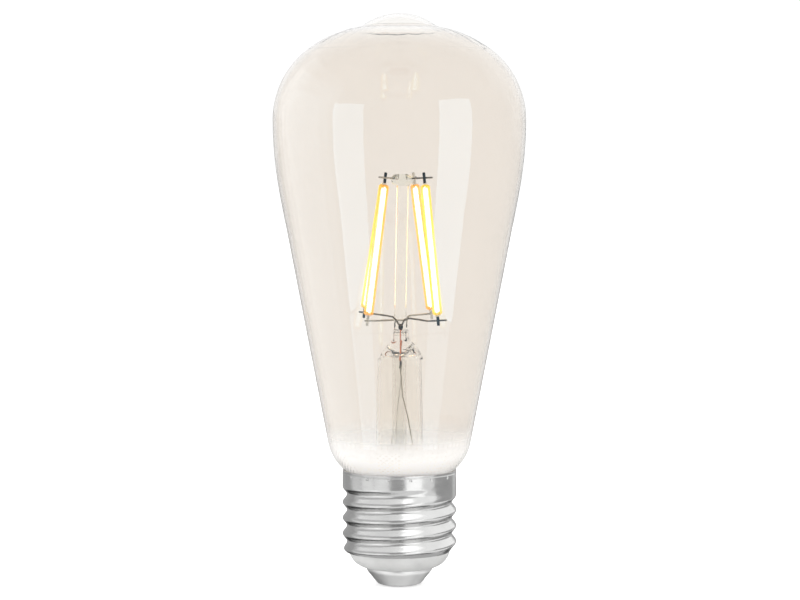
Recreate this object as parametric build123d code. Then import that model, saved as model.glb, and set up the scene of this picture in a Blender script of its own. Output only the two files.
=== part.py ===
from build123d import *
import math
import os

# Smart LED filament lamp, ST58 envelope on an E27 screw cap, millimetres.
# Origin: centre of the flat end of the centre contact. +Z runs along the lamp to the tip of the glass.
# -Y is the front, where the two front filaments are.

# ---------- driving dimensions ----------
OVERALL_HEIGHT = 131.4
ENVELOPE_RADIUS = 29.0
EQUATOR_Z = 107.1
DOME_RADIUS = 20.0
DOME_TURN = 53.0
DOME_TOP_RADIUS = 28.0
WAIST_RADIUS = 90.0
GLASS_WALL = 0.75

TAPER_HALF_ANGLE = 10.84
TAPER_END_Z = 33.0
BOWL_RADIUS = 10.8
BOWL_TURN = 41.2
NECK_RADIUS = 11.6
NECK_END_Z = 21.6
PIP_CROWN_RADIUS = 13.8
PIP_FILLET = 3.0

COATING_THICKNESS = 0.12
COATING_LOW_Z = 24.4
COATING_HIGH_Z = 38.0

THREAD_PITCH = 3.629
THREAD_CREST_RADIUS = 13.15
THREAD_DEPTH = 1.0
THREAD_CREST_Z = 15.55
THREAD_FADE_START_Z = 21.6
THREAD_FADE_LENGTH = 1.0
THREAD_RISE_Z = 7.6
SHELL_WALL = 0.28
SHELL_LOW_Z = 7.8
SHELL_HIGH_Z = 26.7
SHELL_EDGE_ROLL = 0.5
SHELL_ROLL_HEIGHT = 1.2
SHELL_ROW_STEP = 0.22
SHELL_COLUMNS = 40
PEEN_COUNT = 16
PEEN_RADIUS = 0.55
PEEN_DEPTH = 0.17
PEEN_BELOW_RIM = 1.0
RIM_LINE_RADIUS = 0.2
RIM_LINE_DEPTH = 0.1
RIM_LINE_BELOW_RIM = 0.5

FLARE_RADIUS = 5.0
FLARE_LOW_RADIUS = 5.5
FLARE_WALL = 0.9
FLARE_STRAIGHT_LOW_Z = 32.0
FLARE_SHOULDER_Z = 52.3
FLARE_SEAL_HEIGHT = 0.6
# Sections of the shoulder above the tube: height over it, half width in X, half depth in Y.
SHOULDER_SECTIONS = [
    (0, 5.0, 4.999),
    (1.2, 4.65, 4.95),
    (2.6, 3.7, 4.75),
    (3.9, 2.45, 4.45),
    (5.1, 1.65, 4.1),
]
SHOULDER_HOLLOW_FLATNESS = 0.5
PRESS_THICKNESS = 3.2
PRESS_WIDTH = 8.2
PRESS_CORNER = 1.2
PRESS_TOP_FILLET = 0.7
PRESS_LOW_Z = 56.6
PRESS_TOP_Z = 59.0
PRESS_ANGLE = -5.0
VENT_RADIUS = 0.55
VENT_INNER_END = (0, 0, 53.4)
VENT_OUTER_END = (4.2, 0, 56.6)

EXHAUST_RADIUS = 1.65
EXHAUST_BORE = 1.0
EXHAUST_TIP_Z = 20.6
EXHAUST_TIP_LENGTH = 2.6
EXHAUST_TIP_RADIUS = 0.5
EXHAUST_TOP_Z = 54.0

ROD_RADIUS = 1.43
ROD_FOOT = Vector(0.1, 0, 57.8)
ROD_HEAD = Vector(0.7, 0, 92.1)
BUTTON_RADIUS = 2.55
BUTTON_HEIGHT = 2.65
BUTTON_FILLET = 1.15

LEAD_DIAMETER = 0.36
SUPPORT_WIRE_DIAMETER = 0.42
OUTER_LEAD_DIAMETER = 0.22
BUTT_WELD_RADIUS = 0.3
TOP_WIRE_Z = 93.9

COAT_RADIUS = 1.1
COAT_END_FILLET = 0.55
STRIP_WIDTH = 0.9
STRIP_THICKNESS = 0.4
STRIP_OVERHANG = 0.35
TAB_THICKNESS = 0.22
TAB_WIDTH = 0.68
TOP_TAB_LENGTH = 2.5
BOTTOM_TAB_LENGTH = 2.1
TAB_CORNER = 0.18
CHIP_WIDTH = 0.3
CHIP_THICKNESS = 0.12
CHIP_LENGTH = 0.6
CHIP_COUNT = 26
CHIP_END_GAP = 1.2

# Each filament: centre of the coat's top end, centre of its bottom end, height of its lower wire.
FILAMENTS = {
    "front_left": (Vector(-3.4, -4.0, 92.3), Vector(-7.0, -7.9, 62.9), 61.65),
    "back_left": (Vector(-3.6, 4.0, 92.3), Vector(-8.0, 7.7, 63.6), 62.5),
    "back_right": (Vector(3.55, 4.0, 92.3), Vector(7.3, 7.4, 63.3), 62.2),
    "front_right": (Vector(5.8, -4.0, 92.3), Vector(8.6, -7.6, 62.9), 61.65),
}
# How far each wire runs past its filament's tab.
LOWER_OVERSHOOT = {"front_left": 2.1, "back_left": 1.6, "back_right": 0.9, "front_right": 2.0}
TOP_FRONT_OVERSHOOT = 2.0
TOP_BACK_OVERSHOOT = 1.6
TOP_WIRE_APEX_OFFSET = 0.55
TOP_WIRE_SAG = 0.25
TOP_WIRE_BEND = 0.6
LOWER_WIRE_BEND = 0.35
OUTER_LEAD_BEND = 1.5

# Corners of each lower wire, from near its filament to its knot.
LOWER_ROUTES = {
    "front_left": [(-4.8, -3.0, 61.3), (-2.0, 1.3, 61.15), (0.3, 2.5, 61.1), (1.0, 2.62, 60.4)],
    "back_left": [(-2.9, 0.9, 62.2), (-1.5, -1.9, 62.1), (-0.75, -2.6, 61.4), (-0.05, -2.75, 60.35)],
    "back_right": [(2.6, 3.2, 62.1), (1.9, 2.85, 61.8), (1.62, 2.62, 60.4)],
    "front_right": [(6.4, -5.75, 61.4), (4.3, -4.15, 61.65), (2.2, -2.95, 61.85), (1.1, -2.75, 61.5),
                    (0.62, -2.7, 60.35)],
}
# Corners of each outer lead below its butt weld, and where it reaches the driver board.
OUTER_ROUTES = {
    "front": [(0.7, -2.75, 44.0), (1.9, -2.6, 39.0), (2.9, -2.2, 32.8), (3.35, -1.7, 26.4), (4.6, 0.3, 19.0)],
    "back": [(0.4, 2.8, 46.0), (-1.2, 2.8, 39.0), (-1.9, 2.7, 32.0), (-2.6, 2.6, 26.0), (-4.6, 1.7, 19.0)],
}

FRONT_LEAD = Vector(0.3, -2.7, 0)
BACK_LEAD = Vector(1.3, 2.6, 0)
LEAD_FOOT_SHARE = 0.75
KNOT_Z = 59.85
KNOT_RADIUS = 0.55
KNOT_STRETCH = 1.3
LEAD_BUTT_Z = 50.6

CEMENT_LOW_Z = 23.9
CEMENT_HIGH_Z = 25.9
CEMENT_BORE_RADIUS = 8.0
CEMENT_CLEARANCE = 0.06
INSULATOR_TOP_RADIUS = 11.65
INSULATOR_BELLY = (10.3, 0, 5.35)
INSULATOR_FOOT = (8.0, 0, 4.2)
INSULATOR_SEAT_RADIUS = 7.5
INSULATOR_FLOOR_LOW_Z = 6.0
INSULATOR_FLOOR_HIGH_Z = 7.6
INSULATOR_HOLE_RADIUS = 1.6
INSULATOR_CUP_RADIUS = 9.6
INSULATOR_COLLAR_RADIUS = 11.1
INSULATOR_COLLAR_Z = 9.0
CONTACT_WALL = 0.45
CONTACT_FLAT_RADIUS = 3.1
CONTACT_NOSE_END = (5.1, 0, 0.45)
CONTACT_CONE_END = (7.25, 0, 3.05)
CONTACT_SHOULDER = (7.55, 0, 3.55)
CONTACT_RIM_RADIUS = 7.68
CONTACT_RIM_Z = 4.12
CONTACT_COLLAR_RADIUS = 7.45
CONTACT_COLLAR_Z = 5.6

DRIVER_BOARD_SIZE = (20.0, 1.0, 10.3)
DRIVER_BOARD_Y = 1.0
DRIVER_LOW_Z = 9.3
DRIVER_CORNER = 1.2
MODULE_BOARD_SIZE = (12.0, 0.8, 9.4)
MODULE_BOARD_Y = 4.4
MODULE_LOW_Z = 9.8
MODULE_CORNER = 0.5
PIN_COUNT = 6
PIN_PITCH = 1.5
PIN_WIDTH = 0.5
PIN_Z = 10.9
SHIELD_SIZE = (8.4, 1.5, 5.6)
SHIELD_Z = 13.2
SHIELD_EDGE = 0.3
ANTENNA_FINGERS = 6
ANTENNA_PITCH = 1.8
ANTENNA_FINGER_LENGTH = 1.8
ANTENNA_TRACK = 0.4
ANTENNA_THICKNESS = 0.1
ANTENNA_Z = 17.7
CAPACITOR_CENTRE = (-5.3, -3.4, 14.0)
CAPACITOR_RADIUS = 3.15
CAPACITOR_HEIGHT = 9.0
CAPACITOR_EDGE = 0.4
CAPACITOR_GROOVE_Z = -3.4
CAPACITOR_GROOVE_WIDTH = 0.5
CAPACITOR_GROOVE_DEPTH = 0.25
INDUCTOR_CENTRE = (5.2, -3.6, 12.6)
INDUCTOR_FLANGE_RADIUS = 3.0
INDUCTOR_FLANGE_HEIGHT = 1.0
INDUCTOR_WINDING_RADIUS = 2.6
INDUCTOR_WINDING_HEIGHT = 3.0
INDUCTOR_POST_RADIUS = 1.3
BRIDGE_SIZE = (3.4, 1.5, 3.4)
BRIDGE_X = 0.1
BRIDGE_Z = 17.0
DRIVER_CHIP_SIZE = (4.9, 1.4, 3.9)
DRIVER_CHIP_X = -5.6
DRIVER_CHIP_Z = 15.0
PACKAGE_EDGE = 0.25
RESISTOR_CENTRE = (8.3, 3.6, 13.6)
RESISTOR_RADIUS = 1.2
RESISTOR_HEIGHT = 6.2
RESISTOR_EDGE = 0.5
LINER_RADIUS = 11.5
LINER_WALL = 0.35
LINER_LOW_Z = 9.3
LINER_HIGH_Z = 19.6
LIVE_DIAMETER = 0.8
LIVE_BEND = 0.6
LIVE_ROUTE = [(0, 0, 1.1), (0, 0, 7.0), (1.4, -0.1, 8.6), (1.4, -0.1, 11.0)]
SOLDER_RADIUS = 1.1
SOLDER_HEIGHT = 0.83
NEUTRAL_DIAMETER = 0.5
NEUTRAL_BEND = 0.4
NEUTRAL_ROUTE = [(9.2, 0.0, 17.6), (9.2, -0.4, 20.08), (11.9, -0.9, 20.08), (12.2, -1.0, 22.9)]

os.makedirs("parts", exist_ok=True)


def save(name, shape):
    """Write one sub-part to its own STEP file."""
    export_step(shape, "parts/" + name + ".step")


def one_solid(shape):
    """The largest solid of a boolean result."""
    return max(shape.solids(), key=lambda solid: solid.volume)


# ---------- small building blocks ----------
def turned(face_lines):
    """Revolve a closed outline, drawn in X (radius) and Z, about the lamp's axis."""
    return revolve(make_face(face_lines), Axis.Z)


def profile(points):
    """A closed outline of straight lines through (radius, height) points."""
    return Polyline(*[(radius, 0, height) for radius, height in points], close=True)


def tube(outer, inner, low, high):
    """A straight tube on the lamp's axis."""
    return turned(profile([(inner, low), (outer, low), (outer, high), (inner, high)]))


def block(size, centre):
    """A box by its size and centre."""
    return Pos(*centre) * Box(*size)


def rod(start, end, radius):
    """A round bar between two points."""
    start = Vector(*start)
    end = Vector(*end)
    plane = Plane(origin=start, z_dir=end - start)
    return extrude(plane * Circle(radius), (end - start).length)


def bent_wire(points, diameter, bend):
    """A wire through the points, with one bend radius for all its corners."""
    path = FilletPolyline(*points, radius=bend)
    section = Plane(origin=path @ 0, z_dir=path % 0) * Circle(diameter / 2)
    return sweep(section, path=path)


# ---------- glass envelope ----------
def envelope_section(inset):
    """Half section of what the envelope's outer skin holds, drawn in by inset all over."""
    with BuildSketch(Plane.XZ) as sketch:
        with BuildLine():
            crown_centre = (0, OVERALL_HEIGHT - PIP_CROWN_RADIUS)
            pip = CenterArc(crown_centre, PIP_CROWN_RADIUS, 0, 90, mode=Mode.PRIVATE)
            dome = JernArc((ENVELOPE_RADIUS, EQUATOR_Z), (0, 1), DOME_RADIUS, DOME_TURN)
            cap = JernArc(dome @ 1, dome % 1, DOME_TOP_RADIUS, pip)
            crown = ThreePointArc(cap @ 1, (0, OVERALL_HEIGHT), (-(cap @ 1).X, (cap @ 1).Y))
            waist = JernArc((ENVELOPE_RADIUS, EQUATOR_Z), (0, -1), WAIST_RADIUS, -TAPER_HALF_ANGLE)
            taper_length = ((waist @ 1).Y - TAPER_END_Z) / math.cos(math.radians(TAPER_HALF_ANGLE))
            taper = Line(waist @ 1, waist @ 1 + (waist % 1) * taper_length)
            bowl = JernArc(taper @ 1, taper % 1, BOWL_RADIUS, -BOWL_TURN)
            lip_turn = TAPER_HALF_ANGLE + BOWL_TURN
            lip_radius = ((bowl @ 1).X - NECK_RADIUS) / (1 - math.cos(math.radians(lip_turn)))
            lip = JernArc(bowl @ 1, bowl % 1, lip_radius, lip_turn)
            neck = Line(lip @ 1, (NECK_RADIUS, NECK_END_Z - 3))
            floor = Line(neck @ 1, (-NECK_RADIUS, NECK_END_Z - 3))
            mirror([dome, cap, waist, taper, bowl, lip, neck], about=Plane.YZ)
        make_face()
        pip_corners = sketch.vertices().filter_by(
            lambda corner: (Vector(corner) - Vector(*crown_centre)).length < PIP_CROWN_RADIUS + 0.01
        )
        fillet(pip_corners, PIP_FILLET)
        if inset:
            offset(amount=-inset, kind=Kind.ARC, mode=Mode.REPLACE)
        with Locations((-50, 80)):
            Rectangle(100, 200, mode=Mode.SUBTRACT)
    return sketch.sketch


def envelope_layer(outer_inset, inner_inset, low, high):
    """A turned layer between two skins of the envelope, from one height to another."""
    wall = envelope_section(outer_inset) - envelope_section(inner_inset)
    window = Plane.XZ * Pos(50, (low + high) / 2) * Rectangle(100, high - low)
    return revolve(wall & window, Axis.Z)


def make_glass_envelope():
    """Blown glass, open only at the neck, where the stem is sealed on."""
    save("glass_envelope", envelope_layer(0, GLASS_WALL, NECK_END_Z, OVERALL_HEIGHT + 1))


def make_neck_coating():
    """White layer on the inside of the neck."""
    inner_inset = GLASS_WALL + COATING_THICKNESS
    layer = envelope_layer(GLASS_WALL, inner_inset, COATING_LOW_Z, COATING_HIGH_Z)
    save("white_neck_coating", layer)


# ---------- stem, rod and button ----------
def oval(height, along_x, along_y):
    """An oval section of the pressed stem."""
    return Pos(0, 0, height) * Ellipse(along_x, along_y)


def press_location():
    """The press is turned a little about the lamp's axis and stands over the leads."""
    middle = (FRONT_LEAD + BACK_LEAD) / 2
    return Pos(middle.X * 0.5, 0, 0) * Rot(0, 0, PRESS_ANGLE)


def make_stem_flare():
    """Flared tube, shoulder and flat press as one piece of glass."""
    seal_z = NECK_END_Z - FLARE_SEAL_HEIGHT
    outer_side = Spline(
        (FLARE_LOW_RADIUS, 0, FLARE_STRAIGHT_LOW_Z),
        (6.8, 0, 26.2),
        (10.6, 0, NECK_END_Z),
        tangents=((0, 0, -1), (1, 0, -0.3)),
    )
    inner_side = Spline(
        (10.9, 0, NECK_END_Z - 0.9),
        (6.1, 0, 25.4),
        (FLARE_LOW_RADIUS - FLARE_WALL, 0, FLARE_STRAIGHT_LOW_Z),
        tangents=((-1, 0, 0.3), (0, 0, 1)),
    )
    seal = Polyline(outer_side @ 1, (NECK_RADIUS, 0, NECK_END_Z), (NECK_RADIUS, 0, seal_z), inner_side @ 0)
    flare = turned([outer_side, seal, inner_side, Line(inner_side @ 1, outer_side @ 0)])
    barrel = turned(
        profile(
            [
                (FLARE_LOW_RADIUS - FLARE_WALL, FLARE_STRAIGHT_LOW_Z),
                (FLARE_LOW_RADIUS, FLARE_STRAIGHT_LOW_Z),
                (FLARE_RADIUS, FLARE_SHOULDER_Z),
                (FLARE_RADIUS - FLARE_WALL, FLARE_SHOULDER_Z),
            ]
        )
    )
    shoulder = loft([oval(FLARE_SHOULDER_Z + rise, wide, deep) for rise, wide, deep in SHOULDER_SECTIONS])
    hollow = scale(Sphere(FLARE_RADIUS - FLARE_WALL), (1, 1, SHOULDER_HOLLOW_FLATNESS))
    hollow = Pos(0, 0, FLARE_SHOULDER_Z) * hollow
    press = extrude(
        Pos(0, 0, PRESS_LOW_Z) * RectangleRounded(PRESS_THICKNESS, PRESS_WIDTH, PRESS_CORNER),
        PRESS_TOP_Z - PRESS_LOW_Z,
    )
    press = fillet(press.edges().group_by(Axis.Z)[-1], PRESS_TOP_FILLET)
    top = press_location() * (shoulder + press) - hollow - rod(VENT_INNER_END, VENT_OUTER_END, VENT_RADIUS)
    stem = flare + barrel + top
    stem -= exhaust_tube_solid(0)
    stem -= lead_channels()
    stem -= rod_solid()
    save("stem_flare", one_solid(stem))


def exhaust_tube_solid(bore):
    """The pumping tube, drawn down to a closed point at its lower end."""
    tip_top = EXHAUST_TIP_Z + EXHAUST_TIP_LENGTH
    bar = rod((0, 0, tip_top), (0, 0, EXHAUST_TOP_Z), EXHAUST_RADIUS)
    tip = Cone(EXHAUST_TIP_RADIUS, EXHAUST_RADIUS, EXHAUST_TIP_LENGTH)
    tip = Pos(0, 0, EXHAUST_TIP_Z + EXHAUST_TIP_LENGTH / 2) * tip
    whole = bar + fillet(tip.edges().group_by(Axis.Z)[0], EXHAUST_TIP_RADIUS * 0.8)
    if bore:
        whole -= rod((0, 0, tip_top), (0, 0, EXHAUST_TOP_Z), bore)
    return whole


def make_exhaust_tube():
    """Pumping tube inside the flare."""
    save("exhaust_tube", one_solid(exhaust_tube_solid(EXHAUST_BORE)))


def rod_solid():
    """The glass rod from the press to the button."""
    return rod(ROD_FOOT, ROD_HEAD, ROD_RADIUS)


def make_support_rod():
    """Glass rod."""
    save("support_rod", rod_solid())


def make_rod_button():
    """Glass bead on the rod, with the two top wires set in it."""
    bead = extrude(Pos(*ROD_HEAD) * Circle(BUTTON_RADIUS), BUTTON_HEIGHT)
    bead = fillet(bead.edges(), BUTTON_FILLET)
    for side in ("left", "right"):
        bead -= top_wire(side)
    bead -= rod_solid()
    save("rod_button", one_solid(bead))


# ---------- filaments ----------
class Filament:
    """Where one filament runs: its axis, and the side that its wires pass on."""

    def __init__(self, name):
        self.name = name
        self.top, self.bottom, self.lower_wire_z = FILAMENTS[name]
        self.axis = (self.top - self.bottom).normalized()
        outward = Vector(self.bottom.X, self.bottom.Y, 0).normalized()
        self.side = self.axis.cross(outward).normalized()
        self.length = (self.top - self.bottom).length
        self.plane = Plane(origin=self.bottom, x_dir=self.side, z_dir=self.axis)

    def point_at(self, height):
        """The point of the axis at a height."""
        along = (height - self.bottom.Z) / self.axis.Z
        return self.bottom + self.axis * along

    def wire_point(self, height):
        """Where a support wire's centre passes, touching the flat of the tab."""
        reach = TAB_THICKNESS / 2 + SUPPORT_WIRE_DIAMETER / 2
        return self.point_at(height) + self.side * reach


def strip_solid(length):
    """Ceramic strip that the chips sit on, along Z from the coat's lower end."""
    strip = Box(STRIP_THICKNESS, STRIP_WIDTH, length + 2 * STRIP_OVERHANG)
    return Pos(0, 0, length / 2) * strip


def chip_row(length):
    """The row of chips on the strip's face, each a separate solid."""
    step = (length - 2 * CHIP_END_GAP) / (CHIP_COUNT - 1)
    chips = []
    for index in range(CHIP_COUNT):
        height = CHIP_END_GAP + index * step
        centre = ((STRIP_THICKNESS + CHIP_THICKNESS) / 2, 0, height)
        chips.append(block((CHIP_THICKNESS, CHIP_WIDTH, CHIP_LENGTH), centre))
    return chips


def coat_solid(length, strip, chips):
    """Phosphor silicone with rounded ends, moulded round the strip and its chips."""
    coat = Cylinder(COAT_RADIUS, length)
    coat = fillet(coat.edges().filter_by(GeomType.CIRCLE), COAT_END_FILLET)
    coat = Pos(0, 0, length / 2) * coat
    coat -= strip
    for chip in chips:
        coat -= chip
    return one_solid(coat)


def tab_solid(start, length):
    """A flat metal tab on the filament's axis, with rounded corners at its ends."""
    tab = Box(TAB_THICKNESS, TAB_WIDTH, length)
    tab = fillet(tab.edges().filter_by(Axis.X), TAB_CORNER)
    return Pos(0, 0, start + length / 2) * tab


def make_filament(name):
    """The five pieces of one filament, made upright and then set on its axis."""
    filament = Filament(name)
    strip = strip_solid(filament.length)
    chips = chip_row(filament.length)
    pieces = {
        "substrate": strip,
        "chips": Compound(children=chips),
        "coat": coat_solid(filament.length, strip, chips),
        "top_tab": tab_solid(filament.length + STRIP_OVERHANG, TOP_TAB_LENGTH),
        "bottom_tab": tab_solid(-STRIP_OVERHANG - BOTTOM_TAB_LENGTH, BOTTOM_TAB_LENGTH),
    }
    for piece_name, piece in pieces.items():
        save("filament_" + name + "_" + piece_name, filament.plane * piece)


# ---------- wires of the mount ----------
def past(start, through, extra):
    """The point beyond a wire's crossing point, in the direction it comes from."""
    return through + (through - start).normalized() * extra


def top_wire(side):
    """One bent wire: filament, button, filament."""
    offset_x = -TOP_WIRE_APEX_OFFSET if side == "left" else TOP_WIRE_APEX_OFFSET
    apex = Vector(ROD_HEAD.X + offset_x, 0, TOP_WIRE_Z - TOP_WIRE_SAG)
    front = Filament("front_" + side).wire_point(TOP_WIRE_Z)
    back = Filament("back_" + side).wire_point(TOP_WIRE_Z)
    points = [past(apex, front, TOP_FRONT_OVERSHOOT), apex, past(apex, back, TOP_BACK_OVERSHOOT)]
    return bent_wire(points, SUPPORT_WIRE_DIAMETER, TOP_WIRE_BEND)


def lower_wire(name):
    """Wire from beyond the filament's lower tab to the knot on its lead."""
    route = [Vector(*point) for point in LOWER_ROUTES[name]]
    filament = Filament(name)
    crossing = filament.wire_point(filament.lower_wire_z)
    end = past(route[0], crossing, LOWER_OVERSHOOT[name])
    return bent_wire([end] + route, SUPPORT_WIRE_DIAMETER, LOWER_WIRE_BEND)


def lead_foot(lead):
    """Where the seal wire ends inside the stem."""
    return Vector(lead.X * LEAD_FOOT_SHARE, lead.Y, LEAD_BUTT_Z)


def lead_pin(lead):
    """The copper-clad seal wire from the knot down through the press."""
    return rod(lead_foot(lead), (lead.X, lead.Y, KNOT_Z), LEAD_DIAMETER / 2)


def lead_channels():
    """What the two leads take out of the glass."""
    return lead_pin(FRONT_LEAD) + lead_pin(BACK_LEAD)


def knot(lead, wires):
    """A weld bead that holds the lower wires on the lead."""
    bead = Pos(lead.X, lead.Y, KNOT_Z) * scale(Sphere(KNOT_RADIUS), (1, 1, KNOT_STRETCH))
    bead -= lead_pin(lead)
    for wire in wires:
        bead -= wire
    return one_solid(bead)


def outer_lead(name, lead):
    """Thin lead from the foot of the seal wire down to the driver board, with its butt weld."""
    foot = lead_foot(lead)
    wire = bent_wire([foot] + OUTER_ROUTES[name], OUTER_LEAD_DIAMETER, OUTER_LEAD_BEND)
    weld = Pos(*foot) * Sphere(BUTT_WELD_RADIUS)
    return one_solid(wire + weld - lead_pin(lead))


def make_mount_wires():
    """Every wire between the press, the button and the filaments."""
    for side in ("left", "right"):
        save("top_wire_" + side, top_wire(side))
    wires = {name: lower_wire(name) for name in FILAMENTS}
    front_wires = [wires["back_left"], wires["front_right"]]
    back_wires = [wires["front_left"], wires["back_right"]]
    for name, wire in wires.items():
        save("lower_wire_" + name, wire)
    save("lead_knot_front", knot(FRONT_LEAD, front_wires))
    save("lead_knot_back", knot(BACK_LEAD, back_wires))
    for name, lead in (("front", FRONT_LEAD), ("back", BACK_LEAD)):
        save("dumet_lead_" + name, lead_pin(lead))
        save("outer_lead_" + name, outer_lead(name, lead))


# ---------- screw cap ----------
def smooth_step(value):
    """A soft ramp from 0 to 1."""
    value = min(max(value, 0.0), 1.0)
    return value * value * (3 - 2 * value)


def shell_radius(turn, height):
    """Outer radius of the rolled shell. turn goes from 0 to 1 about the axis, from -X."""
    phase = (height - THREAD_CREST_Z) / THREAD_PITCH - turn
    groove_z = THREAD_CREST_Z + THREAD_PITCH * (math.floor(phase) + 0.5 + turn)
    ridge_z = THREAD_CREST_Z + THREAD_PITCH * (round(phase) + turn)
    groove = 1 - smooth_step((groove_z - THREAD_FADE_START_Z) / THREAD_FADE_LENGTH)
    ridge = smooth_step(ridge_z - THREAD_RISE_Z)
    wave = (1 + math.cos(2 * math.pi * phase)) / 2
    roll = max(0.0, 1 - (height - SHELL_LOW_Z) / SHELL_ROLL_HEIGHT)
    depth = THREAD_DEPTH * groove * (1 - ridge * wave)
    return THREAD_CREST_RADIUS - depth - SHELL_EDGE_ROLL * roll ** 2


def shell_drum(inset, low, high):
    """A closed solid with the shell's rolled form, drawn in by inset."""
    rows = round((high - low) / SHELL_ROW_STEP)
    columns = SHELL_COLUMNS
    grid = []
    for column in range(columns + 1):
        turn = (column % columns) / columns
        angle = math.pi + 2 * math.pi * turn
        line = []
        for row in range(rows + 1):
            height = low + (high - low) * row / rows
            radius = shell_radius(turn, min(max(height, SHELL_LOW_Z), SHELL_HIGH_Z)) - inset
            line.append(Vector(radius * math.cos(angle), radius * math.sin(angle), height))
        grid.append(line)
    side = Face.make_surface_from_array_of_points(grid, tol=0.004, min_deg=3, max_deg=3)
    rims = [edge for edge in side.edges() if edge.is_closed]
    ends = [Face(Wire([rim])) for rim in rims]
    return Solid(Shell([side] + ends))


def make_screw_shell():
    """Rolled metal shell with a fine line and a row of peened dimples below its rim."""
    shell = shell_drum(0, SHELL_LOW_Z, SHELL_HIGH_Z)
    shell -= shell_drum(SHELL_WALL, SHELL_LOW_Z - 0.3, SHELL_HIGH_Z + 0.3)
    reach = THREAD_CREST_RADIUS + PEEN_RADIUS - PEEN_DEPTH
    for index in range(PEEN_COUNT):
        turn = Rot(0, 0, 360 * (index + 0.5) / PEEN_COUNT)
        shell -= turn * Pos(reach, 0, SHELL_HIGH_Z - PEEN_BELOW_RIM) * Sphere(PEEN_RADIUS)
    line = Torus(THREAD_CREST_RADIUS + RIM_LINE_RADIUS - RIM_LINE_DEPTH, RIM_LINE_RADIUS)
    shell -= Pos(0, 0, SHELL_HIGH_Z - RIM_LINE_BELOW_RIM) * line
    save("screw_shell", one_solid(shell))


def make_cap_cement():
    """Cement that fills the space between the glass neck and the skirt of the shell."""
    outer = THREAD_CREST_RADIUS - SHELL_WALL - CEMENT_CLEARANCE
    ring = tube(outer, CEMENT_BORE_RADIUS, CEMENT_LOW_Z, CEMENT_HIGH_Z)
    save("cap_cement", one_solid(ring - revolve(envelope_section(0), Axis.Z)))


def make_cap_insulator():
    """Pale insulating ring between the shell and the centre contact."""
    top = (INSULATOR_TOP_RADIUS, 0, SHELL_LOW_Z)
    side = ThreePointArc(top, INSULATOR_BELLY, INSULATOR_FOOT)
    edges = Polyline(
        INSULATOR_FOOT,
        (INSULATOR_SEAT_RADIUS, 0, INSULATOR_FOOT[2]),
        (INSULATOR_SEAT_RADIUS, 0, INSULATOR_FLOOR_LOW_Z),
        (INSULATOR_HOLE_RADIUS, 0, INSULATOR_FLOOR_LOW_Z),
        (INSULATOR_HOLE_RADIUS, 0, INSULATOR_FLOOR_HIGH_Z),
        (INSULATOR_CUP_RADIUS, 0, INSULATOR_FLOOR_HIGH_Z),
        (INSULATOR_CUP_RADIUS, 0, INSULATOR_COLLAR_Z),
        (INSULATOR_COLLAR_RADIUS, 0, INSULATOR_COLLAR_Z),
        (INSULATOR_COLLAR_RADIUS, 0, SHELL_LOW_Z),
        top,
    )
    save("cap_insulator", turned([side, edges]))


def make_centre_contact():
    """Pressed metal cup with a small flat end."""
    nose = TangentArc((CONTACT_FLAT_RADIUS, 0, 0), CONTACT_NOSE_END, tangent=(1, 0, 0))
    cone = Line(nose @ 1, CONTACT_CONE_END)
    shoulder = ThreePointArc(CONTACT_CONE_END, CONTACT_SHOULDER, (CONTACT_RIM_RADIUS, 0, CONTACT_RIM_Z))
    inner_collar_radius = CONTACT_COLLAR_RADIUS - CONTACT_WALL
    inside = Polyline(
        shoulder @ 1,
        (CONTACT_COLLAR_RADIUS, 0, CONTACT_RIM_Z),
        (CONTACT_COLLAR_RADIUS, 0, CONTACT_COLLAR_Z),
        (inner_collar_radius, 0, CONTACT_COLLAR_Z),
        (inner_collar_radius, 0, CONTACT_SHOULDER[2]),
        (CONTACT_NOSE_END[0] - 0.25, 0, CONTACT_NOSE_END[2] + CONTACT_WALL),
        (CONTACT_FLAT_RADIUS, 0, CONTACT_WALL),
        (0, 0, CONTACT_WALL),
        (0, 0, 0),
        (CONTACT_FLAT_RADIUS, 0, 0),
    )
    save("centre_contact", turned([nose, cone, shoulder, inside]))


# ---------- driver in the cap ----------
def board(size, y, low_z):
    """A circuit board by its size, where its middle is in Y and its lowest height."""
    return block(size, (0, y, low_z + size[2] / 2))


def make_boards():
    """Driver board, and the radio board behind it on a row of pins."""
    driver = board(DRIVER_BOARD_SIZE, DRIVER_BOARD_Y, DRIVER_LOW_Z)
    driver = chamfer(driver.edges().filter_by(Axis.Y).group_by(Axis.Z)[0], DRIVER_CORNER)
    module = board(MODULE_BOARD_SIZE, MODULE_BOARD_Y, MODULE_LOW_Z)
    module = fillet(module.edges().filter_by(Axis.Y), MODULE_CORNER)
    driver_back = DRIVER_BOARD_Y + DRIVER_BOARD_SIZE[1] / 2
    module_front = MODULE_BOARD_Y - MODULE_BOARD_SIZE[1] / 2
    module_back = MODULE_BOARD_Y + MODULE_BOARD_SIZE[1] / 2
    pin_size = (PIN_WIDTH, module_front - driver_back, PIN_WIDTH)
    pins = []
    for index in range(PIN_COUNT):
        x = PIN_PITCH * (index - (PIN_COUNT - 1) / 2)
        pins.append(block(pin_size, (x, (driver_back + module_front) / 2, PIN_Z)))
    save("driver_board", driver)
    save("wifi_module_board", module)
    save("module_pins", Compound(children=pins))
    can = block(SHIELD_SIZE, (0, module_back + SHIELD_SIZE[1] / 2, SHIELD_Z))
    can = fillet(can.edges().filter_by(Axis.Y) + can.edges().group_by(Axis.Y)[-1], SHIELD_EDGE)
    save("wifi_shield_can", can)
    save("wifi_antenna", antenna(module_back + ANTENNA_THICKNESS / 2))


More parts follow.
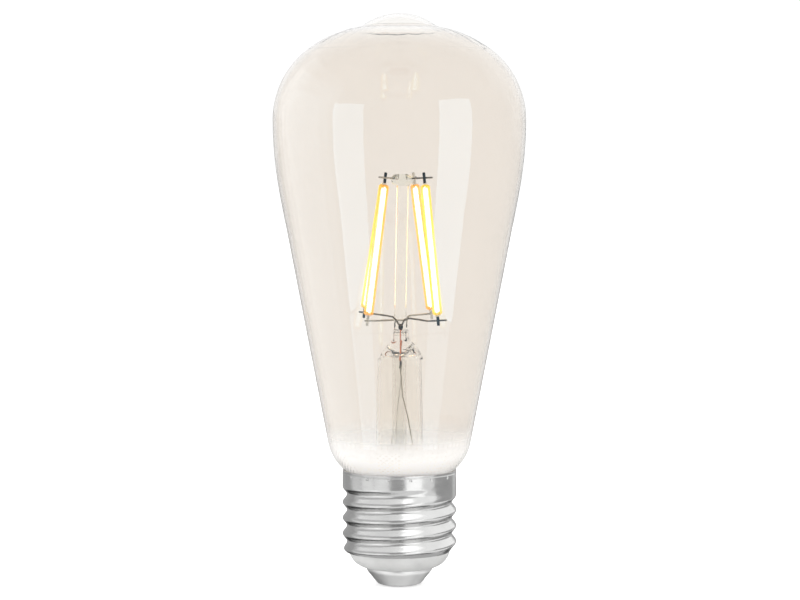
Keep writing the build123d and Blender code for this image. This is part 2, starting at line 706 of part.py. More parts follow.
def antenna(middle_y):
    """Copper meander printed on the top of the radio board."""
    finger_size = (ANTENNA_TRACK, ANTENNA_THICKNESS, ANTENNA_FINGER_LENGTH)
    link_size = (ANTENNA_PITCH + ANTENNA_TRACK, ANTENNA_THICKNESS, ANTENNA_TRACK)
    reach = (ANTENNA_FINGER_LENGTH - ANTENNA_TRACK) / 2
    meander = None
    for index in range(ANTENNA_FINGERS):
        x = ANTENNA_PITCH * (index - (ANTENNA_FINGERS - 1) / 2)
        finger = block(finger_size, (x, middle_y, ANTENNA_Z))
        meander = meander + finger if meander else finger
        if index < ANTENNA_FINGERS - 1:
            side = reach if index % 2 == 0 else -reach
            meander += block(link_size, (x + ANTENNA_PITCH / 2, middle_y, ANTENNA_Z + side))
    return meander


def make_capacitor():
    """Can-shaped bulk capacitor with a pressed groove."""
    can = Cylinder(CAPACITOR_RADIUS, CAPACITOR_HEIGHT)
    can = fillet(can.edges().filter_by(GeomType.CIRCLE), CAPACITOR_EDGE)
    groove = Cylinder(CAPACITOR_RADIUS + CAPACITOR_GROOVE_DEPTH, CAPACITOR_GROOVE_WIDTH)
    groove -= Cylinder(CAPACITOR_RADIUS - CAPACITOR_GROOVE_DEPTH, CAPACITOR_GROOVE_WIDTH)
    can -= Pos(0, 0, CAPACITOR_GROOVE_Z) * groove
    save("bulk_capacitor", Pos(*CAPACITOR_CENTRE) * can)


def make_inductor():
    """Drum core and its winding."""
    spread = (INDUCTOR_WINDING_HEIGHT + INDUCTOR_FLANGE_HEIGHT) / 2
    flange = Cylinder(INDUCTOR_FLANGE_RADIUS, INDUCTOR_FLANGE_HEIGHT)
    core = Cylinder(INDUCTOR_POST_RADIUS, INDUCTOR_WINDING_HEIGHT + 2 * INDUCTOR_FLANGE_HEIGHT)
    core += Pos(0, 0, -spread) * flange + Pos(0, 0, spread) * flange
    winding = Cylinder(INDUCTOR_WINDING_RADIUS, INDUCTOR_WINDING_HEIGHT)
    winding -= Cylinder(INDUCTOR_POST_RADIUS, INDUCTOR_WINDING_HEIGHT)
    save("inductor_core", Pos(*INDUCTOR_CENTRE) * core)
    save("inductor_winding", Pos(*INDUCTOR_CENTRE) * winding)


def make_driver_parts():
    """The smaller components on the driver board."""
    board_front = DRIVER_BOARD_Y - DRIVER_BOARD_SIZE[1] / 2
    board_back = DRIVER_BOARD_Y + DRIVER_BOARD_SIZE[1] / 2
    bridge = block(BRIDGE_SIZE, (BRIDGE_X, board_front - BRIDGE_SIZE[1] / 2, BRIDGE_Z))
    save("bridge_rectifier", chamfer(bridge.edges().group_by(Axis.Y)[0], PACKAGE_EDGE))
    chip = block(DRIVER_CHIP_SIZE, (DRIVER_CHIP_X, board_back + DRIVER_CHIP_SIZE[1] / 2, DRIVER_CHIP_Z))
    save("driver_chip", chamfer(chip.edges().group_by(Axis.Y)[-1], PACKAGE_EDGE))
    resistor = Pos(*RESISTOR_CENTRE) * Cylinder(RESISTOR_RADIUS, RESISTOR_HEIGHT)
    save("fusible_resistor", fillet(resistor.edges().filter_by(GeomType.CIRCLE), RESISTOR_EDGE))


def make_cap_wiring():
    """Insulating sleeve, the two supply wires and the solder on the contact."""
    save("insulating_liner", tube(LINER_RADIUS, LINER_RADIUS - LINER_WALL, LINER_LOW_Z, LINER_HIGH_Z))
    live = bent_wire(LIVE_ROUTE, LIVE_DIAMETER, LIVE_BEND)
    solder = scale(Sphere(SOLDER_RADIUS), (1, 1, SOLDER_HEIGHT / SOLDER_RADIUS))
    solder = split(solder, Plane.XY)
    save("live_wire", live)
    save("contact_solder", one_solid(Pos(0, 0, CONTACT_WALL) * solder - live))
    save("neutral_wire", bent_wire(NEUTRAL_ROUTE, NEUTRAL_DIAMETER, NEUTRAL_BEND))


def make_electronics():
    """Everything that the cap hides."""
    make_boards()
    make_capacitor()
    make_inductor()
    make_driver_parts()
    make_cap_wiring()


def main():
    """Write every sub-part."""
    make_glass_envelope()
    make_neck_coating()
    make_stem_flare()
    make_exhaust_tube()
    make_support_rod()
    make_rod_button()
    for name in FILAMENTS:
        make_filament(name)
    make_mount_wires()
    make_screw_shell()
    make_cap_cement()
    make_cap_insulator()
    make_centre_contact()
    make_electronics()


main()
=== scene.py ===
import math

import bmesh
import bpy
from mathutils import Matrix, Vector


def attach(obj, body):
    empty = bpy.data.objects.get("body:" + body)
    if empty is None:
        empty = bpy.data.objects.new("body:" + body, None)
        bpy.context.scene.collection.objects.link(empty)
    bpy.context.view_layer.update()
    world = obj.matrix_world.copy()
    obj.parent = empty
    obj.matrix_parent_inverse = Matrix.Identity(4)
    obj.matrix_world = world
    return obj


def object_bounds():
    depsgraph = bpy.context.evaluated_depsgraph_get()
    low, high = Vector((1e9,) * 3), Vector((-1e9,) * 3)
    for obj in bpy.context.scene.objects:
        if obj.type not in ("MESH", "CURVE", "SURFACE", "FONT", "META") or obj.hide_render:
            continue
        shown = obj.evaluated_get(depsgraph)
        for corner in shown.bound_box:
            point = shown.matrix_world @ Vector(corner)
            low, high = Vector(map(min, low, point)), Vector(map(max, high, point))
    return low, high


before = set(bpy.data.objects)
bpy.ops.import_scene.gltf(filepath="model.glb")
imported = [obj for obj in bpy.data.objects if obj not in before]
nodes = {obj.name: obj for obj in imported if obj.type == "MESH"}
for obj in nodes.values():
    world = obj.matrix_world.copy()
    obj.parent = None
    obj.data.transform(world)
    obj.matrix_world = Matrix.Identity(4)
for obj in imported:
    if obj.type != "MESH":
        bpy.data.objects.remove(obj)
cad_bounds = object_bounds()
scene = bpy.context.scene

# ---------- driving values, in metres and degrees; colours are linear ----------
CAMERA_DISTANCE = 0.556
CAMERA_ELEVATION = 3.4
CAMERA_AIM = Vector((0.00014, 0.0, 0.0658))
CAMERA_LENS_MM = 108.9
CAMERA_NEAREST = 0.01
SENSOR_MM = 36.0

# The studio's strengths: as it is seen, as it lights matt surfaces, and as shiny surfaces mirror
# it. They also mirror a dark patch of floor, round one direction. The patch begins where the dot
# product with that direction is DARK_FLOOR_EDGE, and is fully dark from DARK_FLOOR_CORE on.
STUDIO_WHITE = 1.1
STUDIO_FILL = 1.5
STUDIO_MIRRORED = 0.45
FLOOR_MIRRORED = 0.03
DARK_FLOOR_DIRECTION = (0.0, 0.49, -0.87)
DARK_FLOOR_EDGE = 0.70
DARK_FLOOR_CORE = 0.78
FLOOR_HALF = 3.0
FLOOR_GLOW = 0.15

# Soft lights round the lamp: name, azimuth (0 is the camera's side, positive to the right),
# elevation, lift, width and height in metres, brightness. Each set lights its own pieces only.
LIGHT_DISTANCE = 0.55
METAL_PIECES = ("screw_shell", "centre_contact")
METAL_LIGHTS = [
    ("cap_left_rear", -97, 0, -0.17, 0.26, 0.46, 0.40),
    ("cap_left", -67, 0, -0.17, 0.28, 0.46, 0.65),
    ("cap_left_front", -35, 0, -0.17, 0.32, 0.46, 0.70),
    ("cap_right_front", 29, 0, -0.17, 0.34, 0.46, 1.18),
    ("cap_right", 60, 0, -0.17, 0.28, 0.46, 0.60),
    ("cap_right_rear", 143, 0, -0.17, 0.16, 0.46, 0.25),
    ("cap_above_far_left", -75, 27, 0.0, 1.00, 0.38, 0.22),
    ("cap_above_left", -65, 64, 0.0, 1.00, 0.38, 0.66),
    ("cap_above_right", 90, 74, 0.0, 2.00, 0.26, 1.35),
    ("cap_above_far_right", 90, 33, 0.0, 2.00, 0.57, 0.85),
    ("cap_below_front", 0, -56, 0.0, 1.20, 0.41, 0.55),
    ("cap_below_left", -75, -38, 0.0, 0.50, 0.30, 0.35),
    ("cap_below_right", 105, -38, 0.0, 0.50, 0.30, 0.80),
    ("cap_below_rear", 180, -61, 0.0, 0.56, 0.56, 0.55),
]
CONTACT_PIECES = ("centre_contact",)
CONTACT_LIGHTS = [
    ("contact_below", 0, -75, 0.0, 0.90, 0.60, 0.46),
]
GLASS_LIGHTS = [
    ("softbox_left", -46, 0, 0.060, 0.285, 0.44, 2.6),
    ("softbox_left_foot", -48, 0, -0.205, 0.27, 0.09, 1.4),
    ("softbox_right", 51, 0, 0.085, 0.315, 0.49, 2.8),
    ("softbox_right_foot", 50, 0, -0.205, 0.28, 0.09, 1.05),
]
# Soft-edged lights are stacks of sheets, a gap apart, that grow from small to large.
FEATHERED_GLASS_LIGHTS = [
    ("side_fill_left", -98, 0, 0.0, 0.70, 1.00, 0.95),
    ("side_fill_high_left", -92, 22, 0.0, 0.66, 0.36, 0.45),
    ("sky_behind", 180, 38, 0.0, 1.60, 0.52, 0.58),
]
FEATHER_SHEETS = 3
FEATHER_SPREAD = 0.35
FEATHER_GAP = 0.004

# Noise mostly lies between NOISE_LOW and NOISE_HIGH. The fine grain of a worked surface is
# FINE_GRAIN times finer than its mottling.
NOISE_LOW = 0.3
NOISE_HIGH = 0.7
FINE_GRAIN = 7
GRAIN_STRENGTH = 0.35

# Glass is tinted, and GLASS_CLOUD paler in places. The pip's own tint takes over between two
# heights.
GLASS_INDEX = 1.5
GLASS_CLOUD = 0.008
ENVELOPE_TINT = (0.874, 0.840, 0.798)
ENVELOPE_REFLECTION = (0.50, 0.78, 1.0)
MOUNT_TINT = (0.985, 0.985, 0.972)
BEAD_TINT = (0.90, 0.915, 0.87)
PIP_TINT = (0.955, 0.95, 0.94)
PIP_TINTED_Z = 0.1262
PIP_CLEAR_Z = 0.1285

# The neck's white coating is solid at the bottom and clear at the top. Its faint glow is painted
# light, though the coating is no lamp, and it grows upwards.
COATING_CLEAR_Z = 0.0375
COATING_SOLID_Z = 0.0285
COATING_COVER = 0.97
COATING_PAINTED_GLOW_COLOUR = (0.92, 0.955, 1.0)
COATING_PAINTED_GLOW_BOTTOM = 0.34
COATING_PAINTED_GLOW_TOP = 0.72

# Worn nickel is NICKEL_WEAR times as bright as new. The stretch draws noise out into lines round
# the lamp's axis.
NICKEL_WEAR = 0.9
NICKEL_LINES = (0.06, 0.06, 1.0)

# The copper-clad leads are bright above the first height and dark below the second.
LEAD_COPPER_Z = 0.0528
LEAD_DARK_Z = 0.0520

# The phosphor's skin is PHOSPHOR_SHADE times as bright in places, and hides PHOSPHOR_COVER of the
# lit core behind it.
PHOSPHOR_SHADE = 0.8
PHOSPHOR_COVER = 0.62
PHOSPHOR_GLOW = 0.40
CORE_GLOW = (5.0, 7.0)
FILAMENTS = ("front_left", "back_left", "back_right", "front_right")
# The tabs are one metal. Those listed here get a dark copy of painted shade, and the rest get a
# pale copy of painted reflection.
PAINTED_SHADE_TABS = ("front_left_top", "front_right_top", "back_left_bottom", "front_right_bottom")

# The lit core of a filament. GLOW_TIP and GLOW_LUMP are shares of its radius: how slim its ends
# are, and how high its lumps. GLOW_LUMP_TURN is the lumps' wave in radians from ring to ring.
GLOW_RADIUS = 0.00056
GLOW_INSET = 0.0007
GLOW_TIP = 0.2
GLOW_LUMP = 0.03
GLOW_LUMP_TURN = 2.1
GLOW_RINGS = 60
GLOW_SIDES = 16


# ---------- node helpers ----------
class Tree:
    """A node tree under construction, with short ways to add and join its nodes."""

    def __init__(self, owner, output):
        owner.use_nodes = True
        self.tree = owner.node_tree
        self.tree.nodes.clear()
        self.output = self.node(output)

    def node(self, kind, **settings):
        """A new node; settings name its properties."""
        made = self.tree.nodes.new(kind)
        for key, value in settings.items():
            setattr(made, key, value)
        return made

    def join(self, source, target):
        """Link two sockets, or set the target to a plain value."""
        if isinstance(source, bpy.types.NodeSocket):
            self.tree.links.new(source, target)
        else:
            target.default_value = source

    def grade(self, factor, low, high, start=NOISE_LOW, end=NOISE_HIGH, smooth=False):
        """A number that goes from low to high as factor goes from start to end."""
        made = self.node("ShaderNodeMapRange")
        if smooth:
            made.interpolation_type = "SMOOTHSTEP"
        made.inputs["From Min"].default_value = start
        made.inputs["From Max"].default_value = end
        made.inputs["To Min"].default_value = low
        made.inputs["To Max"].default_value = high
        self.join(factor, made.inputs["Value"])
        return made.outputs["Result"]

    def mix(self, factor, first, second):
        """The first shader node where factor is 0 and the second where it is 1."""
        made = self.node("ShaderNodeMixShader")
        self.join(factor, made.inputs[0])
        self.join(first.outputs[0], made.inputs[1])
        self.join(second.outputs[0], made.inputs[2])
        return made


class Look(Tree):
    """A material under construction."""

    def __init__(self, name):
        self.material = bpy.data.materials.new(name)
        super().__init__(self.material, "ShaderNodeOutputMaterial")

    def coordinates(self, stretch):
        """Object coordinates, stretched."""
        place = self.node("ShaderNodeTexCoord")
        mapping = self.node("ShaderNodeMapping")
        mapping.inputs["Scale"].default_value = stretch
        self.join(place.outputs["Object"], mapping.inputs["Vector"])
        return mapping.outputs["Vector"]

    def noise(self, scale, detail=4.0, stretch=(1, 1, 1)):
        """Noise over the object; scale is in features per metre."""
        made = self.node("ShaderNodeTexNoise")
        made.inputs["Scale"].default_value = scale
        made.inputs["Detail"].default_value = detail
        self.join(self.coordinates(stretch), made.inputs["Vector"])
        return made.outputs["Fac"]

    def height(self):
        """Height over the contact's tip, in metres."""
        place = self.node("ShaderNodeTexCoord")
        split = self.node("ShaderNodeSeparateXYZ")
        self.join(place.outputs["Object"], split.inputs["Vector"])
        return split.outputs["Z"]

    def multiply(self, first, second):
        """The product of two numbers."""
        made = self.node("ShaderNodeMath", operation="MULTIPLY")
        self.join(first, made.inputs[0])
        self.join(second, made.inputs[1])
        return made.outputs["Value"]

    def blend(self, factor, low, high):
        """A colour that goes from low to high as factor goes from 0 to 1."""
        made = self.node("ShaderNodeMix", data_type="RGBA")
        self.join(factor, made.inputs["Factor"])
        self.join(low, made.inputs["A"])
        self.join(high, made.inputs["B"])
        return made.outputs["Result"]

    def ramp(self, factor, low, high, start=NOISE_LOW, end=NOISE_HIGH):
        """A colour that goes from low to high as factor goes from start to end."""
        made = self.node("ShaderNodeValToRGB")
        stops = ((start, low), (end, high))
        for element, (position, colour) in zip(made.color_ramp.elements, stops):
            element.position = position
            element.color = (*colour, 1.0)
        self.join(factor, made.inputs["Fac"])
        return made.outputs["Color"]

    def bump(self, height, strength, distance):
        """A bump normal from a height."""
        made = self.node("ShaderNodeBump")
        made.inputs["Strength"].default_value = strength
        made.inputs["Distance"].default_value = distance
        self.join(height, made.inputs["Height"])
        return made.outputs["Normal"]

    def principled(self, **values):
        """A Principled shader; values name its own sockets, with _ for a space."""
        made = self.node("ShaderNodeBsdfPrincipled")
        for key, value in values.items():
            made.inputs[key.replace("_", " ")].default_value = value
        return made

    def see_through(self, shader, cover):
        """The shader as a skin; cover, a number or a socket, is the share that it hides."""
        return self.mix(cover, self.node("ShaderNodeBsdfTransparent"), shader)

    def finish(self, shader):
        """Join the shader to the output and return the material."""
        self.join(shader.outputs[0], self.output.inputs["Surface"])
        return self.material


def darker(colour, share):
    """A colour times a share."""
    return tuple(channel * share for channel in colour)


def mottled(name, dark, light, scale, roughness, metallic=0.0, relief=0.00002, stretch=(1, 1, 1)):
    """A worked surface: colour, roughness and relief all vary with noise.

    Scale is in features per metre, roughness is the lowest and highest, relief is in metres.
    """
    look = Look(name)
    broad = look.noise(scale, detail=5.0, stretch=stretch)
    fine = look.noise(scale * FINE_GRAIN, detail=3.0, stretch=stretch)
    shader = look.principled(Metallic=metallic)
    look.join(look.ramp(broad, dark, light), shader.inputs["Base Color"])
    look.join(look.grade(fine, *roughness), shader.inputs["Roughness"])
    look.join(look.bump(fine, GRAIN_STRENGTH, relief), shader.inputs["Normal"])
    return look.finish(shader)


# ---------- glass ----------
def glass(name, tint, waviness, reflection=(1.0, 1.0, 1.0)):
    """Clear glass with the faint waves of blown glass; in the pip its tint turns to PIP_TINT."""
    look = Look(name)
    shader = look.principled(IOR=GLASS_INDEX, Roughness=0.0, Transmission_Weight=1.0,
                             Specular_Tint=(*reflection, 1.0))
    paler = tuple(min(1.0, channel + GLASS_CLOUD) for channel in tint)
    tinted = look.ramp(look.noise(scale=90, detail=2.0), tint, paler)
    pip = look.grade(look.height(), 0.0, 1.0, start=PIP_TINTED_Z, end=PIP_CLEAR_Z)
    look.join(look.blend(pip, tinted, (*PIP_TINT, 1.0)), shader.inputs["Base Color"])
    waves = look.noise(scale=38, detail=1.0)
    look.join(look.bump(waves, strength=0.2, distance=waviness), shader.inputs["Normal"])
    return look.finish(shader)


def neck_coating():
    """White coating that fades out upwards, with a faint grain and a painted glow that grows
    upwards.
    """
    look = Look("neck_coating")
    grain = look.noise(scale=900, detail=3.0)
    solid = look.grade(look.height(), 0.0, COATING_COVER,
                       start=COATING_CLEAR_Z, end=COATING_SOLID_Z, smooth=True)
    cover = look.multiply(solid, look.grade(grain, low=0.94, high=1.0))
    # Painted light: the coating is given its own bluish glow, stronger upwards, though it is no
    # lamp.
    white = look.principled(Roughness=0.45, Emission_Color=(*COATING_PAINTED_GLOW_COLOUR, 1.0))
    glow = look.grade(look.height(), COATING_PAINTED_GLOW_BOTTOM, COATING_PAINTED_GLOW_TOP,
                      start=COATING_SOLID_Z, end=COATING_CLEAR_Z)
    look.join(glow, white.inputs["Emission Strength"])
    look.join(look.ramp(grain, (0.93, 0.925, 0.91), (0.97, 0.965, 0.955)),
              white.inputs["Base Color"])
    return look.finish(look.see_through(white, cover))


# ---------- metals ----------
def rolled_nickel(name, base, roughness, line_scale):
    """Plated sheet metal with fine lines round the lamp's axis and light wear."""
    look = Look(name)
    shader = look.principled(Metallic=1.0)
    lines = look.noise(line_scale, detail=2.0, stretch=NICKEL_LINES)
    cloud = look.noise(scale=160)
    worn = darker(base, NICKEL_WEAR)
    look.join(look.ramp(cloud, worn, base, end=0.65), shader.inputs["Base Color"])
    scuffed = look.multiply(lines, look.grade(cloud, low=0.8, high=1.2))
    look.join(look.grade(scuffed, *roughness), shader.inputs["Roughness"])
    look.join(look.bump(lines, strength=0.12, distance=0.00001), shader.inputs["Normal"])
    return look.finish(shader)


def copper_clad():
    """Copper-clad seal wire, bright copper in the glass and darkened below it."""
    look = Look("copper_clad")
    shader = look.principled(Metallic=1.0)
    bright = look.grade(look.height(), 0.0, 1.0, start=LEAD_DARK_Z, end=LEAD_COPPER_Z)
    cloud = look.noise(scale=700)
    clean = look.ramp(cloud, (0.62, 0.14, 0.05), (0.88, 0.33, 0.15))
    burnt = look.ramp(cloud, (0.03, 0.025, 0.02), (0.12, 0.09, 0.07))
    look.join(look.blend(bright, burnt, clean), shader.inputs["Base Color"])
    look.join(look.grade(cloud, low=0.2, high=0.4), shader.inputs["Roughness"])
    return look.finish(shader)


# ---------- filaments ----------
def filament_core():
    """The white-hot middle of a lit filament, a little uneven from chip to chip."""
    look = Look("filament_core")
    shader = look.node("ShaderNodeEmission")
    chips = look.noise(scale=1500, detail=2.0)
    look.join(look.ramp(chips, (1.0, 0.93, 0.76), (1.0, 0.97, 0.90)), shader.inputs["Color"])
    look.join(look.grade(chips, *CORE_GLOW), shader.inputs["Strength"])
    return look.finish(shader)


def phosphor(name, edge):
    """Phosphor silicone, lit from inside, with a slightly lumpy skin."""
    look = Look(name)
    skin = look.principled(Roughness=0.35, Emission_Strength=PHOSPHOR_GLOW)
    lumps = look.noise(scale=1100, detail=3.0)
    colour = look.ramp(lumps, darker(edge, PHOSPHOR_SHADE), edge)
    look.join(colour, skin.inputs["Base Color"])
    look.join(colour, skin.inputs["Emission Color"])
    look.join(look.bump(lumps, strength=0.4, distance=0.00006), skin.inputs["Normal"])
    return look.finish(look.see_through(skin, PHOSPHOR_COVER))


def add_object(name, data):
    """A new object in the scene."""
    made = bpy.data.objects.new(name, data)
    scene.collection.objects.link(made)
    return made


def average(points):
    """The mean of some points."""
    return sum(points, Vector((0, 0, 0))) / len(points)


def strip_ends(strip):
    """The middles of a filament strip's bottom and top ends."""
    points = [vertex.co for vertex in strip.data.vertices]
    heights = [point.z for point in points]
    middle = (max(heights) + min(heights)) / 2
    bottom = average([point for point in points if point.z < middle])
    top = average([point for point in points if point.z > middle])
    return bottom, top


def glow_rod(name):
    """The lit core of one filament: a slim lumpy rod along the strip, with rounded ends."""
    bottom, top = strip_ends(nodes["filament_" + name + "_substrate"])
    axis = (top - bottom).normalized()
    start = bottom + axis * GLOW_INSET
    length = (top - bottom).length - 2 * GLOW_INSET
    turn = axis.to_track_quat("Z", "Y")
    build = bmesh.new()
    previous = None
    for ring in range(GLOW_RINGS + 1):
        along = ring / GLOW_RINGS
        from_end = min(along, 1 - along) * length
        swell = max(GLOW_TIP, math.sqrt(min(1.0, from_end / GLOW_RADIUS)))
        lump = 1 + GLOW_LUMP * math.sin(ring * GLOW_LUMP_TURN)
        circle = []
        for side in range(GLOW_SIDES):
            angle = 2 * math.pi * side / GLOW_SIDES
            offset = Vector((math.cos(angle), math.sin(angle), 0)) * GLOW_RADIUS * swell * lump
            circle.append(build.verts.new(start + axis * along * length + turn @ offset))
        if previous:
            for side in range(GLOW_SIDES):
                other = (side + 1) % GLOW_SIDES
                corners = (previous[side], previous[other], circle[other], circle[side])
                build.faces.new(corners)
        else:
            build.faces.new(list(reversed(circle)))
        previous = circle
    build.faces.new(previous)
    for face in build.faces:
        face.smooth = True
    mesh = bpy.data.meshes.new("filament_" + name + "_glow")
    build.to_mesh(mesh)
    build.free()
    return add_object("filament_" + name + "_glow", mesh)


# ---------- assigning materials ----------
def paint(material, *names):
    """Give CAD nodes one material."""
    for name in names:
        mesh = nodes[name].data
        mesh.materials.clear()
        mesh.materials.append(material)


def paint_lamp():
    """The glass and the cap."""
    envelope = glass("envelope_glass", ENVELOPE_TINT, waviness=0.00002,
                     reflection=ENVELOPE_REFLECTION)
    mount = glass("mount_glass", MOUNT_TINT, waviness=0.00003)
    bead = glass("bead_glass", BEAD_TINT, waviness=0.00012)
    bright = rolled_nickel("bright_nickel", (0.62, 0.62, 0.615),
                           roughness=(0.16, 0.26), line_scale=2600)
    satin = rolled_nickel("satin_nickel", (0.66, 0.66, 0.655),
                          roughness=(0.34, 0.44), line_scale=3000)
    grey = mottled("insulator", (0.33, 0.33, 0.325), (0.39, 0.39, 0.385),
                   scale=220, roughness=(0.42, 0.6))
    cement = mottled("cement", (0.42, 0.37, 0.29), (0.56, 0.51, 0.42),
                     scale=400, roughness=(0.8, 0.95), relief=0.0001)
    paint(envelope, "glass_envelope")
    paint(mount, "stem_flare", "exhaust_tube", "support_rod")
    paint(bead, "rod_button")
    paint(neck_coating(), "white_neck_coating")
    paint(bright, "screw_shell")
    paint(satin, "centre_contact")
    paint(grey, "cap_insulator")
    paint(cement, "cap_cement")


def paint_wires():
    """Wires and leads of the mount."""
    # The mount wire is one wire in two copies: a dark one of painted shade and a pale one of
    # painted light.
    wire = mottled("mount_wire", (0.10, 0.09, 0.08), (0.26, 0.24, 0.21),
                   scale=900, roughness=(0.25, 0.45), metallic=1.0)
    pale = mottled("mount_wire_painted_light", (0.34, 0.32, 0.28), (0.55, 0.52, 0.46),
                   scale=900, roughness=(0.2, 0.4), metallic=1.0)
    lead = mottled("lead_wire", (0.26, 0.23, 0.16), (0.44, 0.39, 0.28),
                   scale=800, roughness=(0.3, 0.5), metallic=1.0)
    knot = mottled("weld_knot", (0.04, 0.035, 0.03), (0.14, 0.12, 0.10),
                   scale=2000, roughness=(0.4, 0.7), metallic=1.0, relief=0.00008)
    paint(wire, "lower_wire_back_left", "lower_wire_front_right", "top_wire_right")
    paint(pale, "lower_wire_front_left", "lower_wire_back_right", "top_wire_left")
    paint(lead, "outer_lead_front", "outer_lead_back")
    paint(knot, "lead_knot_front", "lead_knot_back")
    paint(copper_clad(), "dumet_lead_front", "dumet_lead_back")


def make_filaments():
    """The filaments: materials for their CAD nodes, and a glowing rod inside each."""
    core = filament_core()
    amber = phosphor("amber_phosphor", (0.97, 0.50, 0.05))
    yellow = phosphor("yellow_phosphor", (0.95, 0.70, 0.04))
    coats = {"front_left": amber, "front_right": yellow, "back_left": yellow, "back_right": amber}
    ceramic = mottled("ceramic_strip", (0.80, 0.80, 0.77), (0.90, 0.90, 0.87),
                      scale=900, roughness=(0.3, 0.5))
    chip = mottled("led_chip", (0.30, 0.36, 0.62), (0.50, 0.56, 0.80),
                   scale=3000, roughness=(0.1, 0.3))
    # One tab metal in two copies: a dark one of painted shade and a pale one of painted
    # reflection.
    painted_shade_tab = mottled("painted_shade_tab", (0.008, 0.007, 0.006), (0.035, 0.03, 0.025),
                       scale=1200, roughness=(0.35, 0.5), metallic=1.0)
    painted_reflection_tab = mottled("painted_reflection_tab", (0.45, 0.43, 0.38), (0.75, 0.72, 0.66),
                       scale=1200, roughness=(0.2, 0.35), metallic=1.0)
    for name in FILAMENTS:
        paint(coats[name], "filament_" + name + "_coat")
        paint(ceramic, "filament_" + name + "_substrate")
        paint(chip, "filament_" + name + "_chips")
        for end in ("top", "bottom"):
            tab = name + "_" + end
            paint(painted_shade_tab if tab in PAINTED_SHADE_TABS else painted_reflection_tab, "filament_" + tab + "_tab")
        glow = glow_rod(name)
        glow.data.materials.append(core)
        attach(glow, "root")


def paint_driver():
    """The electronics inside the cap."""
    green = mottled("driver_board", (0.012, 0.11, 0.045), (0.02, 0.19, 0.08),
                    scale=500, roughness=(0.25, 0.4))
    black = mottled("module_board", (0.008, 0.010, 0.02), (0.02, 0.025, 0.045),
                    scale=600, roughness=(0.25, 0.4))
    gold = mottled("gold_copper", (0.70, 0.45, 0.16), (0.90, 0.66, 0.32),
                   scale=900, roughness=(0.2, 0.35), metallic=1.0)
    tin = mottled("shield_tin", (0.62, 0.62, 0.60), (0.78, 0.78, 0.76),
                  scale=500, roughness=(0.25, 0.4), metallic=1.0)
    sleeve = mottled("capacitor_sleeve", (0.015, 0.018, 0.035), (0.03, 0.035, 0.06),
                     scale=300, roughness=(0.3, 0.45))
    ferrite = mottled("ferrite", (0.03, 0.03, 0.03), (0.07, 0.07, 0.07),
                      scale=800, roughness=(0.6, 0.8))
    winding = mottled("winding", (0.45, 0.14, 0.04), (0.78, 0.33, 0.12),
                      scale=1200, roughness=(0.2, 0.35), metallic=1.0, relief=0.0002,
                      stretch=(0.1, 0.1, 3.0))
    epoxy = mottled("black_epoxy", (0.012, 0.012, 0.012), (0.03, 0.03, 0.03),
                    scale=900, roughness=(0.5, 0.7))
    resistor = mottled("resistor_body", (0.28, 0.36, 0.34), (0.40, 0.48, 0.45),
                       scale=500, roughness=(0.3, 0.5))
    liner = mottled("liner_film", (0.70, 0.66, 0.56), (0.80, 0.77, 0.68),
                    scale=250, roughness=(0.45, 0.6))
    red = mottled("wire_red", (0.40, 0.02, 0.015), (0.55, 0.04, 0.03),
                  scale=400, roughness=(0.4, 0.55))
    white = mottled("wire_white", (0.68, 0.68, 0.66), (0.78, 0.78, 0.76),
                    scale=400, roughness=(0.4, 0.55))
    solder = mottled("solder", (0.52, 0.52, 0.50), (0.74, 0.74, 0.72),
                     scale=900, roughness=(0.2, 0.4), metallic=1.0)
    paint(green, "driver_board")
    paint(black, "wifi_module_board")
    paint(gold, "module_pins", "wifi_antenna")
    paint(tin, "wifi_shield_can")
    paint(sleeve, "bulk_capacitor")
    paint(ferrite, "inductor_core")
    paint(winding, "inductor_winding")
    paint(epoxy, "bridge_rectifier", "driver_chip")
    paint(resistor, "fusible_resistor")
    paint(liner, "insulating_liner")
    paint(red, "live_wire")
    paint(white, "neutral_wire")
    paint(solder, "contact_solder")


# ---------- stage, light and camera ----------
def make_floor():
    """Pale floor that the lamp stands on."""
    level = cad_bounds[0][2]
    signs = ((-1, -1), (1, -1), (1, 1), (-1, 1))
    corners = [(x * FLOOR_HALF, y * FLOOR_HALF, level) for x, y in signs]
    mesh = bpy.data.meshes.new("floor")
    mesh.from_pydata(corners, [], [(0, 1, 2, 3)])
    look = Look("floor")
    shader = look.principled(Roughness=0.9, Emission_Color=(1.0, 1.0, 1.0, 1.0),
                             Emission_Strength=FLOOR_GLOW)
    cloud = look.noise(scale=3, detail=2.0)
    look.join(look.ramp(cloud, (0.93, 0.93, 0.93), (0.95, 0.95, 0.95)),
              shader.inputs["Base Color"])
    mesh.materials.append(look.finish(shader))
    floor = add_object("floor", mesh)
    floor.visible_glossy = False
    floor.visible_transmission = False
    floor.visible_shadow = False


def soft_light(receivers, name, azimuth, elevation, lift, width, height, brightness,
               further=0.0):
    """A rectangular soft light that faces the lamp and lights only the given objects."""
    data = bpy.data.lights.new(name, "AREA")
    data.shape = "RECTANGLE"
    data.size = width
    data.size_y = height
    data.energy = brightness * math.pi * width * height
    turn = math.radians(azimuth)
    rise = math.radians(elevation)
    flat = math.cos(rise)
    outward = Vector((math.sin(turn) * flat, -math.cos(turn) * flat, math.sin(rise)))
    light = add_object(name, data)
    light.location = outward * (LIGHT_DISTANCE + further) + Vector((0, 0, lift))
    light.rotation_euler = (-outward).to_track_quat("-Z", "Y").to_euler()
    light.visible_camera = False
    light.visible_transmission = False
    light.light_linking.receiver_collection = receivers


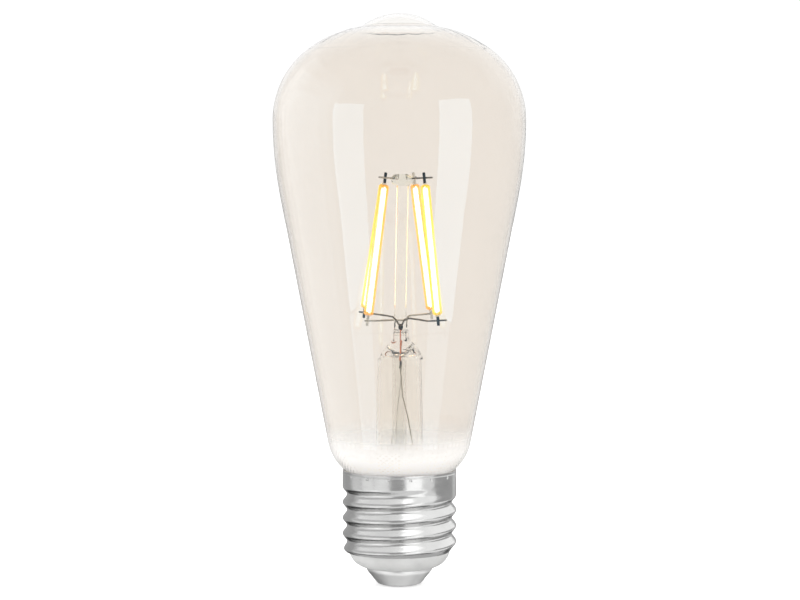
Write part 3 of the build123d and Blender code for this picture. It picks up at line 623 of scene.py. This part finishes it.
def feathered_light(receivers, name, azimuth, elevation, lift, width, height, brightness):
    """A soft light with soft edges: a stack of sheets that share its brightness."""
    for sheet in range(FEATHER_SHEETS):
        size = 1 + FEATHER_SPREAD * (2 * sheet / (FEATHER_SHEETS - 1) - 1)
        soft_light(receivers, name + "_" + str(sheet), azimuth, elevation, lift, width * size,
                   height * size, brightness / FEATHER_SHEETS, further=FEATHER_GAP * sheet)


def light_group(name, pieces):
    """A collection of the pieces that one set of lights falls on."""
    group = bpy.data.collections.new(name)
    for piece in pieces:
        group.objects.link(piece)
    return group


def make_lights():
    """Separate sets of soft lights for the metal of the cap, its contact and everything else."""
    cap = [nodes[name] for name in METAL_PIECES]
    contact = [nodes[name] for name in CONTACT_PIECES]
    rest = [piece for piece in scene.objects if piece.type == "MESH" and piece not in cap]
    lit_as_metal = light_group("lit_as_metal", cap)
    lit_as_contact = light_group("lit_as_contact", contact)
    lit_as_glass = light_group("lit_as_glass", rest)
    for setting in METAL_LIGHTS:
        soft_light(lit_as_metal, *setting)
    for setting in CONTACT_LIGHTS:
        soft_light(lit_as_contact, *setting)
    for setting in GLASS_LIGHTS:
        soft_light(lit_as_glass, *setting)
    for setting in FEATHERED_GLASS_LIGHTS:
        feathered_light(lit_as_glass, *setting)


def make_world():
    """A white studio; shiny surfaces mirror a dimmer one, darkest low down behind the lamp."""
    scene.world = bpy.data.worlds.new("studio")
    studio = Tree(scene.world, "ShaderNodeOutputWorld")

    def backdrop(strength):
        """A white background; its strength is a number or a socket."""
        made = studio.node("ShaderNodeBackground")
        made.inputs["Color"].default_value = (1, 1, 1, 1)
        studio.join(strength, made.inputs["Strength"])
        return made

    place = studio.node("ShaderNodeTexCoord")
    toward_floor = studio.node("ShaderNodeVectorMath", operation="DOT_PRODUCT")
    studio.join(place.outputs["Generated"], toward_floor.inputs[0])
    studio.join(DARK_FLOOR_DIRECTION, toward_floor.inputs[1])
    mirrored = studio.grade(toward_floor.outputs["Value"], STUDIO_MIRRORED, FLOOR_MIRRORED,
                            start=DARK_FLOOR_EDGE, end=DARK_FLOOR_CORE, smooth=True)

    ray = studio.node("ShaderNodeLightPath").outputs
    seen = backdrop(STUDIO_WHITE)
    seen = studio.mix(ray["Is Diffuse Ray"], seen, backdrop(STUDIO_FILL))
    seen = studio.mix(ray["Is Glossy Ray"], seen, backdrop(mirrored))
    seen = studio.mix(ray["Is Transmission Ray"], seen, backdrop(STUDIO_WHITE))
    studio.join(seen.outputs[0], studio.output.inputs["Surface"])


def make_camera():
    """The camera, in front of the lamp and looking slightly down."""
    data = bpy.data.cameras.new("camera")
    data.lens = CAMERA_LENS_MM
    data.sensor_width = SENSOR_MM
    data.clip_start = CAMERA_NEAREST
    tilt = math.radians(CAMERA_ELEVATION)
    back = Vector((0, -math.cos(tilt), math.sin(tilt)))
    camera = add_object("camera", data)
    camera.location = CAMERA_AIM + back * CAMERA_DISTANCE
    camera.rotation_euler = (-back).to_track_quat("-Z", "Y").to_euler()
    scene.camera = camera


scene.view_settings.view_transform = "Standard"
make_camera()
make_world()
make_floor()
paint_lamp()
paint_wires()
make_filaments()
paint_driver()
make_lights()
